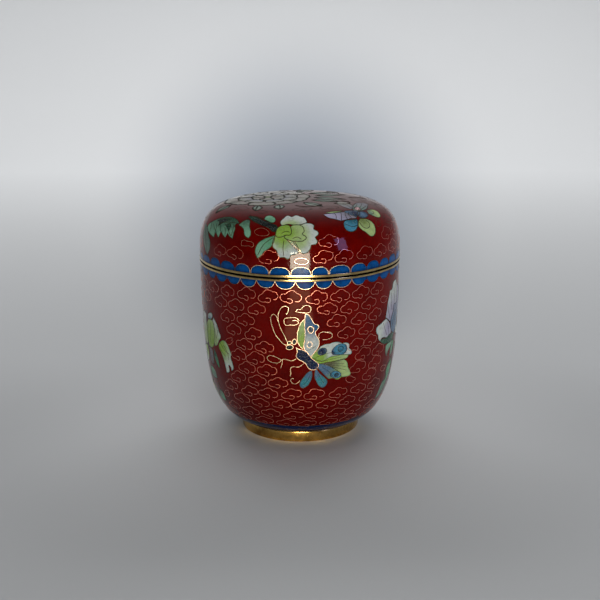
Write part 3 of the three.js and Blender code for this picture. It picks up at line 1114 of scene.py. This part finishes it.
leftFlower = {
    "angle": -62.1,
    "height": -29.9,
    "girth": 37.0,
    "cells": [
        (1, ("mist", "white"), (-0.4, 11.0), (0.2, 2.4), [
            (-0.3, 13.3), (1.5, 13.3), (1.6, 12.1), (0.1, 11.0), (-2.1, 10.8), (-2.4, 11.9)]),
        (1, ("lime", "paleLime"), (-2.0, 3.0), (2.0, 9.0), [
            (-2.7, 10.0), (0.4, 10.9), (2.0, 10.4), (2.8, 7.6), (2.1, 3.2), (0.7, 0.4), (-2.9, -0.2),
            (-4.2, 2.4), (-4.3, 6.3)]),
        (0, ("paleLime", "white"), (2.0, 3.0), (1.0, 8.0), [
            (2.4, 12.1, 1), (4.1, 10.8), (5.3, 9.2), (6.0, 7.4, 1), (7.0, 5.8), (5.7, 4.0), (3.6, 1.5),
            (2.1, 1.3, 1), (1.6, 5.3), (1.0, 9.4)]),
        (0, ("lime", "white"), (6.0, 2.0), (1.5, 9.0), [
            (6.2, 3.6, 1), (8.9, 4.8), (10.6, 3.7), (11.8, 1.6), (12.5, 0.2, 1), (12.1, -1.3),
            (12.9, -3.6), (12.9, -5.5), (11.9, -6.4, 1), (11.1, -4.5), (10.4, -4.6, 1), (10.5, -7.1),
            (8.8, -7.8, 1), (8.4, -5.1), (7.6, -2.3), (6.4, -0.2), (5.1, 1.4)]),
        (0, ("paleLime", "white"), (-5.0, 3.0), (1.0, 8.0), [
            (-4.6, 11.6, 1), (-8.0, 12.4), (-10.6, 9.0, 1), (-11.0, 5.0), (-8.6, 1.0, 1), (-5.4, -0.2),
            (-4.6, 3.0), (-4.8, 7.4)]),
        (0, ("lime", "white"), (-5.0, -1.0), (1.0, 8.0), [
            (-5.4, -0.6, 1), (-9.0, -1.0), (-12.0, -4.0, 1), (-11.0, -7.6), (-7.4, -7.4, 1),
            (-5.0, -4.4)]),
        (0, ("darkLeaf", "leaf"), (1.5, -1.0), (0.5, 7.0), [
            (1.3, -0.2, 1), (2.7, -1.7), (4.0, -4.3), (4.2, -7.4, 1), (2.8, -6.2), (1.4, -4.5),
            (0.7, -2.2)]),
        (0, ("greyLilac", "duskPink"), (-3.0, -3.0), (0.5, 6.0), [
            (-3.8, -0.9, 1), (-0.8, -0.9), (0.0, -3.0), (-0.2, -6.6, 1), (-2.6, -6.8), (-3.6, -4.0)]),
        (0, ("leaf", "greyLeaf"), (-4.0, -9.0), (0.5, 5.0), [
            (-4.7, -8.4, 1), (-0.5, -9.3), (0.5, -12.3, 1), (-2.9, -12.9), (-5.2, -11.5)]),
        (0, ("dullLeaf", "leaf"), (-1.0, -17.0), (0.5, 6.0), [
            (-0.3, -17.0, 1), (2.6, -17.9), (2.9, -21.6, 1), (-0.3, -21.5), (-2.1, -20.1)]),
        (0, ("leaf", "greyLeaf"), (-8.0, -17.0), (0.5, 8.0), [
            (-7.0, -15.0, 1), (-4.6, -18.0), (-4.4, -22.6), (-6.6, -26.4, 1), (-9.4, -22.4),
            (-9.2, -18.0)]),
    ],
    "lines": [
        [(6.3, 3.4), (8.8, 1.1), (11.3, 0.0)],
        [(5.4, 1.8), (7.2, 0.0), (9.2, -1.4)],
        [(2.3, 9.6), (3.4, 6.4), (3.4, 2.9)],
        [(4.6, 9.7), (4.9, 6.9), (3.9, 4.4)],
        [(-0.6, 9.6), (-0.8, 5.0), (-1.8, 1.6)],
        [(-2.6, 8.6), (-2.9, 5.0), (-3.0, 2.4)],
        [(-3.4, -2.0), (-2.1, -4.4), (-0.4, -6.9)],
        [(8.4, 2.8), (10.4, 0.4), (10.9, -2.4)],
        [(-6.5, 1.0), (-7.6, 5.0), (-7.4, 10.0)],
        [(-6.4, -2.0), (-8.8, -4.2), (-10.0, -6.4)],
        [(-4.2, -7.0), (-5.6, -10.4), (-6.2, -15.0), (-9.0, -22.0), (-14.0, -27.0)],
        [(0.2, -13.4), (0.4, -16.6)],
    ],
}

rightPeony = {
    "angle": 60.2,
    "height": -26.2,
    "girth": 37.0,
    "cells": [
        (0, ("lilac", "white"), (5.0, 7.0), (2.0, 13.0), [
            (6.6, 21.2, 1), (3.5, 20.3), (2.9, 18.5), (0.7, 17.9, 1), (0.0, 15.8), (-0.9, 13.7),
            (-1.2, 11.5), (-1.7, 9.9), (-2.0, 8.4, 1), (0.1, 7.1), (2.1, 5.7, 1), (3.4, 7.9), (4.9, 9.6),
            (5.1, 11.7), (8.9, 11.7), (9.1, 14.2), (8.8, 16.9), (8.0, 19.3)]),
        (0, ("slate", "lilac"), (7.0, 3.0), (2.0, 14.0), [
            (8.8, 18.9, 1), (8.8, 16.9), (9.1, 14.2), (8.9, 11.7), (5.3, 11.6), (5.2, 9.5), (3.6, 7.8),
            (2.3, 5.4, 1), (3.8, 1.9), (6.8, -0.3, 1), (10.5, 2.5), (12.6, 7.0), (13.4, 12.0),
            (11.6, 17.0)]),
        (1, ("lilac", "white"), (0.6, 3.6), (0.4, 6.0), [
            (-1.6, 7.9, 1), (-3.2, 7.5), (-5.3, 6.7), (-7.2, 6.2), (-8.0, 5.2), (-7.7, 3.7),
            (-6.7, 2.7, 1), (-6.3, 1.0), (-5.0, -0.2, 1), (-4.7, 0.6), (-3.4, 1.0), (-0.4, 0.3),
            (1.7, 0.9), (3.4, 1.4), (2.4, 3.7), (1.6, 5.3), (-0.3, 7.0)]),
        (0, ("lilac", "white"), (10.0, 5.0), (3.0, 13.0), [
            (13.0, 17.5, 1), (16.5, 19.0), (19.5, 16.0, 1), (20.6, 12.0), (18.4, 8.0, 1), (15.0, 5.6),
            (13.4, 8.0), (13.9, 12.5)]),
        (0, ("white", "pink"), (10.0, 3.0), (3.0, 12.0), [
            (16.0, 6.6, 1), (20.6, 7.0), (22.6, 3.4, 1), (21.6, -1.0), (17.8, -2.6, 1), (13.0, -1.6),
            (9.0, 0.2), (12.6, 3.6)]),
        (1, ("darkLeaf", "dullLeaf"), (1.0, -0.4), (1.0, 6.0), [
            (-5.0, -0.1, 1), (-3.6, -1.2), (0.0, -2.1), (4.3, -2.3), (6.7, -1.0), (6.4, 0.6), (4.4, 0.9),
            (1.8, 0.7), (-1.5, 0.2), (-3.8, 0.6)]),
        (0, ("paleLeaf", "shell"), (2.0, -2.0), (0.5, 5.5), [
            (2.4, -2.4, 1), (-0.4, -2.9), (-0.7, -4.8), (0.5, -7.4, 1), (2.3, -5.2), (4.7, -3.8),
            (5.5, -2.5)]),
        (0, ("leaf", "greyLeaf"), (5.8, -2.6), (0.5, 6.0), [
            (5.8, -2.6, 1), (4.6, -4.2), (4.2, -6.1), (4.1, -8.5, 1), (6.6, -7.4), (7.6, -4.7),
            (7.4, -2.4)]),
        (0, ("leaf", "greyLeaf"), (5.0, -12.0), (1.0, 12.0), [
            (7.0, -9.1, 1), (4.6, -10.8), (2.5, -13.3), (3.3, -17.1), (0.7, -17.9), (-1.0, -21.9),
            (-1.6, -24.6, 1), (1.4, -23.6), (4.4, -20.0), (6.4, -16.7), (7.5, -13.3)]),
        (0, ("leaf", "paleLeaf"), (13.0, -6.0), (1.0, 12.0), [
            (12.0, -4.6, 1), (17.0, -7.2), (20.6, -11.0), (22.6, -16.4, 1), (17.6, -14.4), (13.6, -10.4)]),
    ],
    "lines": [
        [(3.2, 20.2), (2.6, 18.4), (2.2, 14.0), (3.0, 10.2)],
        [(6.2, 20.2), (5.4, 16.0), (6.2, 12.4)],
        [(7.4, 10.6), (6.6, 7.0), (4.4, 3.6)],
        [(9.8, 16.0), (9.6, 9.6), (7.6, 4.0)],
        [(-0.6, 13.4), (0.2, 10.2), (1.4, 7.4)],
        [(-0.4, 1.2), (-2.2, 4.0), (-3.6, 6.6)],
        [(1.2, 1.6), (0.6, 4.2), (-0.4, 6.2)],
        [(12.8, 9.0), (15.4, 12.6), (16.6, 17.0)],
        [(12.0, 1.2), (16.6, 2.4), (20.6, 2.0)],
        [(7.2, -3.2), (8.4, -8.0), (8.8, -14.0), (12.0, -22.0), (17.0, -27.0)],
        [(6.4, -10.0), (4.4, -14.6), (3.0, -18.6), (-0.6, -23.6)],
        [(12.8, -5.4), (17.2, -10.2), (21.4, -15.2)],
    ],
}


def disc(radius, layer, colours):
    edge = [(radius * math.cos(a), radius * math.sin(a)) for a in (math.tau * i / 10 for i in range(10))]
    return (layer, colours, (0, 0), (0, radius), edge)


def sprayed(flowers, leaves, lines, greens):
    # the leaves lie under the flower
    leafCells, strokes = [], list(lines)
    for part in leaves:
        cell, vein = leaf(greens, *part)
        leafCells.insert(0, cell)
        strokes.append(vein)
    return {"cells": leafCells + flowers, "lines": strokes}


# The peony over the top of the lid, round its heart, seen from above, in the greyed colours that paint its
# shade and sheen
topPeony = {
    "centre": (-12.0, 2.5),
    "under": 12.0,
    "heart": 1.5,
    "rings": [
        (1, 10, 7.4, 9.2, 8.6, 10, ("duskPink", "shell"), 4),
        (2, 8, 6.4, 7.4, 5.0, 30, ("greyLilac", "shell"), 3),
        (3, 6, 5.0, 5.4, 1.2, 0, ("duskPink", "shell"), 3),
    ],
    "leaves": [
        (5.5, 0.5, 12.0, 4.6, 96, 1.0), (6.0, 5.0, 12.5, 4.4, 74, -1.2), (3.5, 10.0, 12.0, 4.6, 56, 1.2),
        (-1.0, 15.5, 10.0, 4.4, 34, 1.0), (4.5, -4.5, 11.0, 4.2, 112, -1.0),
        (1.5, -9.5, 10.0, 4.2, 132, 1.0), (-28.5, 6.0, 8.0, 4.0, 282, -1.0),
        (-25.5, -8.0, 6.5, 3.8, 236, 1.0), (-15.0, -14.5, 6.5, 3.6, 196, -1.0),
        (-7.5, -14.0, 7.0, 3.6, 168, 1.0),
    ],
    "lines": [
        [(18.5, 2.0), (21.0, 4.5), (25.0, 3.0)],
        [(-2.5, 20.0), (0.5, 23.0), (-0.5, 27.0)],
        [(-16.0, 20.5), (-18.0, 24.5), (-16.0, 28.0)],
        [(-1.5, -15.5), (2.0, -17.5), (6.0, -16.5), (8.0, -13.0)],
        [(12.5, -10.5), (16.0, -12.0), (18.5, -8.0), (15.5, -5.5)],
        [(10.5, 17.0), (14.0, 16.0), (15.0, 12.5)],
    ],
}

# The plainer flower on the back
backFlower = {
    "angle": 178.0,
    "height": -27.0,
    "girth": 37.0,
    "under": 6.4,
    "heart": 1.1,
    "rings": [
        (1, 6, 6.0, 7.2, 3.6, 0, ("paleLime", "white"), 3),
        (2, 5, 4.2, 4.4, 0.8, 20, ("lime", "paleLime"), 3),
    ],
    "leaves": [
        (8.0, -5.0, 9.5, 4.0, 125, 1.0), (5.0, -9.0, 9.0, 3.8, 160, -1.2),
        (-8.0, -5.5, 10.0, 4.0, 235, -1.0), (-3.0, -9.5, 9.0, 3.8, 200, 1.2),
        (9.5, 3.0, 8.0, 3.6, 75, 1.0), (-9.5, 3.5, 8.0, 3.6, 285, -1.0),
    ],
    "lines": [[(0.5, -9.5), (1.5, -15.0), (0.0, -21.0), (-3.0, -26.0)]],
}


taken = []  # where motifs lie, so that the clouds keep clear of them


def addMotif(name, ground, drawing, outlined=wire, width=wires["motif"], pitch=0.8):
    bm, lines = bmesh.new(), bmesh.new()
    top = wires["proud"] + inlay["layer"] * max(cell[0] for cell in drawing["cells"])
    for key, material in (("cells", 0), ("shaded", 1)):
        parts = drawing.get(key, [])
        for layer, colours, heart, reach, outline in parts:
            enamelCell(bm, outline, ground, layer, colours, heart, reach, pitch)
        for layer in sorted({part[0] for part in parts}):
            strokes = [part[4] for part in parts if part[0] == layer]
            lift = wires["proud"] + inlay["layer"] * layer
            laidWire(lines, strokes, True, ground, width, lift, material)
    kinds = (("lines", 0, width * wires["inner"]), ("ribs", 1, wires["fine"]), ("gilt", 2, wires["thin"]))
    for key, material, thick in kinds:
        if drawing.get(key):
            laidWire(lines, drawing[key], False, ground, thick, top, material)
    taken.extend(v.co.copy() for v in [*bm.verts, *lines.verts])
    finished(bm, name, name.split("_")[0] + "_enamel", painted)
    finished(lines, name + "_wires", "rim_gilt", outlined, darkWire, paleWire)


def groundOf(wall, drawing):
    return Ground(wall, drawing["angle"], drawing["height"], drawing["girth"])


def addTopPeony():
    x, y = topPeony["centre"]
    petals = [disc(topPeony["under"], 0, ("greyLilac", "duskPink"))] + flower(topPeony["rings"])
    petals.append(disc(topPeony["heart"], 4, ("olive", "olive")))
    leaves = [(leafX - x, leafY - y, *rest) for leafX, leafY, *rest in topPeony["leaves"]]
    lines = [[(k[0] - x, k[1] - y) for k in stroke] for stroke in topPeony["lines"]]
    drawing = sprayed(petals, leaves, lines, ("greyLeaf", "shell"))
    addMotif("lid_top_peony", TopGround(x, y), drawing, darkWire, wires["darkTop"], 1.0)


def addBackFlower():
    petals = [disc(backFlower["under"], 0, ("paleLime", "white"))] + flower(backFlower["rings"])
    petals.append(disc(backFlower["heart"], 3, ("olive", "olive")))
    drawing = sprayed(petals, backFlower["leaves"], backFlower["lines"], ("leaf", "paleLeaf"))
    addMotif("body_back_flower", groundOf(bodyWall, backFlower), drawing)


addMotif("body_butterfly", groundOf(bodyWall, butterfly), butterfly, paleWire, pitch=0.7)
addMotif("body_left_flower", groundOf(bodyWall, leftFlower), leftFlower, darkWire, wires["darkFine"])
addMotif("body_right_peony", groundOf(bodyWall, rightPeony), rightPeony, darkWire, wires["darkFine"])
addMotif("lid_flower", groundOf(lidWall, lidSpray), lidSpray, darkWire, wires["dark"], 0.6)
addMotif("lid_butterfly", groundOf(lidWall, lidButterfly), lidButterfly, darkWire, wires["dark"], 0.6)
addTopPeony()
addBackFlower()
print("motifs laid")

# Clouds lie in rows. A row is its height, how many clouds fit round it and the angles of those on the
# front. The rest of the row is filled evenly, clear of the motifs.
clouds = {
    "clear": 3.6,  # a whole cloud keeps this far from a motif
    "squeeze": 2.4,  # nearer than this there is none, and between the two a small one
    "measured": 0.6,  # share of both distances that the front's own clouds keep
    "darkAbove": 14,  # on the lid's shoulder and top the wires are dark, painted shade where they face up away from the light
    "flat": (0.94, 0.80),  # share of its height that a cloud has high up and near the foot
    "flatter": (-34, -50),  # heights between which it changes
    "stray": 0.3,  # how far a cloud may lie above or below its row
    "strayAngle": 1.2,  # of the clouds behind
    "sizes": (0.93, 1.05),
    "turn": 9,
    "smallTurn": 35,
    "wobble": 0.12,  # how far each bend of the wire may be off
    "stroke": [
        (-1.0, -0.8), (0.2, -0.8), (0.7, -1.5), (0.0, -2.5), (-1.2, -2.0), (-3.0, -1.8), (-3.8, -0.5),
        (-3.1, 0.7), (-2.0, 1.0, 1), (-0.9, 2.2), (0.4, 2.5), (1.8, 1.6, 1), (3.1, 1.3), (3.6, -0.1),
        (2.8, -1.4), (1.7, -1.5)],
    "small": [
        (1.9, -0.7), (0.6, -1.3), (-1.4, -1.1), (-2.4, 0.1), (-1.2, 1.1), (0.9, 0.9), (2.1, 0.4),
        (1.2, -0.4)],
    "body": [
        (-5.6, 27, (-43.6, -30.2, -17.3, -4.8, 9.1, 22.2, 35.2)),
        (-10.4, 27, (-37.5, -24.1, -11.2, 15.1, 28.2, 41.3)),
        (-15.1, 27, (-44.5, -31.2, 20.4, 34.4, 46.7)),
        (-19.8, 27, (-26.7, 26.4, 40.0)),
        (-24.5, 27, (-43.6, -32.6, -20.0, 32.9, 43.2)),
        (-29.0, 27, (-37.2, -25.9, 38.2, 51.0)),
        (-33.6, 27, (-44.5, -31.7, -18.9, 35.0, 49.0)),
        (-38.0, 26, (-38.8, -25.5, -12.8, 30.4, 44.9)),
        (-42.5, 26, (-46.0, -31.6, -19.2, -5.1, 8.2, 23.0, 37.2, 50.7)),
        (-46.9, 26, (-38.8, -25.0, -11.6, 1.0, 15.9, 29.9, 44.9)),
        (-51.6, 25, (-33.7, -19.0, -4.4, 9.2, 23.6, 36.2, 52.7)),
        (-56.0, 22, (-25.5, -9.2, 4.5, 20.0)),
    ],
    "lid": [
        (6.3, 26, (-49.6, -37.5, -16.7, 2.8, 12.6, 24.4, 37.7, 50.0)),
        (11.6, 26, (-57.0, 16.2, 59.0)),
        (16.2, 23, (70.0,)),
        (20.9, 20, (80.0,)),
        (25.6, 16, (60.0,)),
        (30.3, 13, (30.0,)),
        (35.0, 10, (20.0,)),
    ],
}


def either(reach):
    # by chance, to one side or the other
    return random.uniform(-reach, reach)


def bentCloud(shape, x, size, turn):
    wobble = clouds["wobble"]
    uneven = [(k[0] * size + either(wobble), k[1] * size + either(wobble), *k[2:]) for k in shape]
    return moved(uneven, x, 0, turn)


def rowAngles(count, front):
    # on from the front's last cloud, round the back, to its first one
    start, end = front[-1], front[0] + 360
    steps = max(1, round((end - start) / (360 / count)))
    behind = [start + (end - start) * i / steps + either(clouds["strayAngle"]) for i in range(1, steps)]
    return list(front) + behind


def cloudStroke(angle, ground, flat, occupied, near):
    # a whole cloud, a small one where there is less room for it, or none
    x, up = math.radians(angle) * ground.girth, either(clouds["stray"])
    size, turn = random.uniform(*clouds["sizes"]), either(clouds["turn"])
    away = occupied.find(ground.wall.place(math.radians(angle), ground.height + up))[2] / mm
    if away > clouds["clear"] * near:
        whole = bentCloud(clouds["stroke"], x, size, turn)
        return [(k[0], k[1] * flat + up, *k[2:]) for k in whole]
    if away > clouds["squeeze"] * near:
        small = bentCloud(clouds["small"], x, size, either(clouds["smallTurn"]))
        return [(k[0], k[1] + up, *k[2:]) for k in small]
    return None


def addClouds(name, wall, rows):
    occupied = KDTree(len(taken))
    for i, spot in enumerate(taken):
        occupied.insert(spot, i)
    occupied.balance()
    bm = bmesh.new()
    (high, low), (start, end) = clouds["flat"], clouds["flatter"]
    for height, count, front in rows:
        ground = Ground(wall, 0, height)
        flat = high + (low - high) * min(max((height - start) / (end - start), 0), 1)
        strokes = []
        for angle in rowAngles(count, front):
            near = clouds["measured"] if angle in front else 1
            strokes.append(cloudStroke(angle, ground, flat, occupied, near))
        strokes = [stroke for stroke in strokes if stroke]
        if strokes:
            material = int(height > clouds["darkAbove"])
            laidWire(bm, strokes, False, ground, wires["fine"], wires["proud"], material, 2)
    finished(bm, name, "rim_gilt", wire, darkWire)


addClouds("body_cloud_wires", bodyWall, clouds["body"])
addClouds("lid_cloud_wires", lidWall, clouds["lid"])
print("cloud wires bent and laid")

studio = {
    "floor": (0.59, 0.60, 0.61),
    "front": -1.4,
    "depth": 1.0,  # where the floor has turned up, behind the caddy
    "half": 1.6,
    "bend": 0.30,
    "turn": 70,  # how far round the paper is bent up
    "steps": 16,
    # the soft shade behind the caddy: its size and drop are slopes from the camera
    "shade": (0.27, 0.32, 0.41),
    "shadeSize": 0.19,
    "shadeDrop": 0.99,
    "shadeFrom": (0.05, 0.16),
    # the caddy's shadow, which falls back and to the left
    "shadow": 0.14,
    "shadowLean": 0.012,
    "shadowWidth": (0.06, 0.12),
    "shadowFrom": (-0.02, 0.04),
    "shadowTo": (0.22, 0.36),
    # the light fades on the floor towards the front
    "fading": 0.12,
    "fadingRadius": (0.06, 0.13),
    "fadingDepth": (0.09, -0.02),
}


def studioPaper():
    finish = Finish("studio_paper")
    x, y, z = (finish.along(axis) for axis in "XYZ")
    back = y + camera["distance"] * mm
    side = x / back / studio["shadeSize"]
    up = (z - camera["height"] * mm) / back / studio["shadeSize"] + studio["shadeDrop"]
    away = (side * side + up * up) ** 0.5
    shade = finish.between(y, *studio["shadeFrom"]) * (1 - finish.between(away, 0.0, 1.0))
    strip = 1 - finish.between(abs(x / back + studio["shadowLean"]), *studio["shadowWidth"])
    started, ended = finish.between(y, *studio["shadowFrom"]), finish.between(y, *studio["shadowTo"])
    shadow = strip * started * (1 - ended)
    off, forward = (x * x + y * y) ** 0.5, finish.between(y, *studio["fadingDepth"])
    fading = finish.between(off, *studio["fadingRadius"]) * forward
    clouded = [part * 0.96 for part in studio["floor"]]
    colour = finish.mixed(finish.noise(3, 2.0), studio["floor"], clouded)
    colour = finish.mixed(shade, colour, studio["shade"], "MULTIPLY")
    dark = studio["shadow"] * shadow + studio["fading"] * fading
    finish.set("Base Color", finish.mixed(dark, colour, (0, 0, 0)))
    finish.set("Roughness", 0.9)
    finish.shader.inputs["Specular IOR Level"].default_value = 0.1
    return finish.material


def addStudio():
    back, half, bend = studio["depth"], studio["half"], studio["bend"]
    bm = bmesh.new()
    line = [(studio["front"], 0.0), (back - bend, 0.0)]
    for i in range(1, studio["steps"] + 1):
        a = math.radians(studio["turn"]) * i / studio["steps"]
        line.append((back - bend + bend * math.sin(a), bend - bend * math.cos(a)))
    edge = [bm.verts.new((-half, y, z)) for y, z in line]
    strip = [bm.edges.new(pair) for pair in zip(edge, edge[1:])]
    swept = bmesh.ops.extrude_edge_only(bm, edges=strip)["geom"]
    far = [part for part in swept if isinstance(part, bmesh.types.BMVert)]
    bmesh.ops.translate(bm, verts=far, vec=(2 * half, 0, 0))
    bmesh.ops.recalc_face_normals(bm, faces=bm.faces)
    mesh = bpy.data.meshes.new("floor")
    bm.to_mesh(mesh)
    bm.free()
    mesh.polygons.foreach_set("use_smooth", [True] * len(mesh.polygons))
    mesh.materials.append(studioPaper())
    floor = bpy.data.objects.new("floor", mesh)
    bpy.context.collection.objects.link(floor)


# place, what it faces, size, strength and colour
softboxes = {
    "top_softbox": ((0.0, 0.0, 1.1), (0, 0, 0), (0.8, 0.6), 0.8, (1, 1, 1)),
    "back_softbox": ((0.0, 0.85, 0.80), (0, 0.85, 0.0), (1.5, 0.4), 5.6, (1, 1, 1)),
    "front_softbox": ((0.17, -0.57, 0.20), (0, 0, 0.06), (0.35, 0.30), 4.0, (1, 1, 1)),
}
# what the enamel mirrors: a window, its patch of light on the table and a bluish lamp to the right
windowLight = (0.93, 0.86, 0.66)
mirrored = {
    "window": ((0.0, -0.30, 0.0602), (0, 0, 0.0602), (0.105, 0.096), 58, windowLight),
    "window_sill": ((0.0, -0.30, 0.0092), (0, 0, 0.0092), (0.105, 0.006), 16, windowLight),
    "table_glow": ((0.0, -0.20, 0.004), (0, -0.20, 1), (0.084, 0.13), 4.4, (1.0, 0.68, 0.40)),
    "lamp": ((0.44, -0.40, 0.26), (0.014, -0.035, 0.078), (0.12, 0.25), 11, (0.36, 0.42, 1.0)),
}


def addLight(name, place, target, size, radiance, colour, onlyMirrored=False):
    data = bpy.data.lights.new(name, "AREA")
    data.shape, data.size, data.size_y = "RECTANGLE", *size
    data.energy, data.color = radiance * math.pi * size[0] * size[1], colour
    lamp = bpy.data.objects.new(name, data)
    bpy.context.collection.objects.link(lamp)
    lamp.location = place
    lamp.rotation_euler = (Vector(place) - Vector(target)).to_track_quat("Z", "Y").to_euler()
    lamp.visible_camera = False
    lamp.visible_glossy = onlyMirrored
    lamp.visible_diffuse = not onlyMirrored


# the dim room from the front to the back: share of the way, colour
room = [
    (0.30, (0.030, 0.032, 0.035)),
    (0.75, (0.20, 0.21, 0.22)),
    (0.90, (0.32, 0.335, 0.345)),
    (0.985, (0.42, 0.43, 0.435)),
]


def addWorld():
    world = bpy.data.worlds.new("room")
    world.use_nodes = True
    sky = Nodes(world.node_tree)
    toward = sky.node("ShaderNodeTexCoord", out="Generated")
    back = sky.node("ShaderNodeSeparateXYZ", inputs={0: toward}, out="Y")
    colour = sky.node("ShaderNodeValToRGB", {"stops": room}, {0: 0.5 + 0.5 * back})
    sky.join(sky.tree.nodes["Background"].inputs["Color"], colour)
    bpy.context.scene.world = world


addStudio()
addWorld()
for name, plan in softboxes.items():
    addLight(name, *plan)
for name, plan in mirrored.items():
    addLight(name, *plan, onlyMirrored=True)
bpy.context.scene.view_settings.view_transform = "Standard"
print("studio lit")
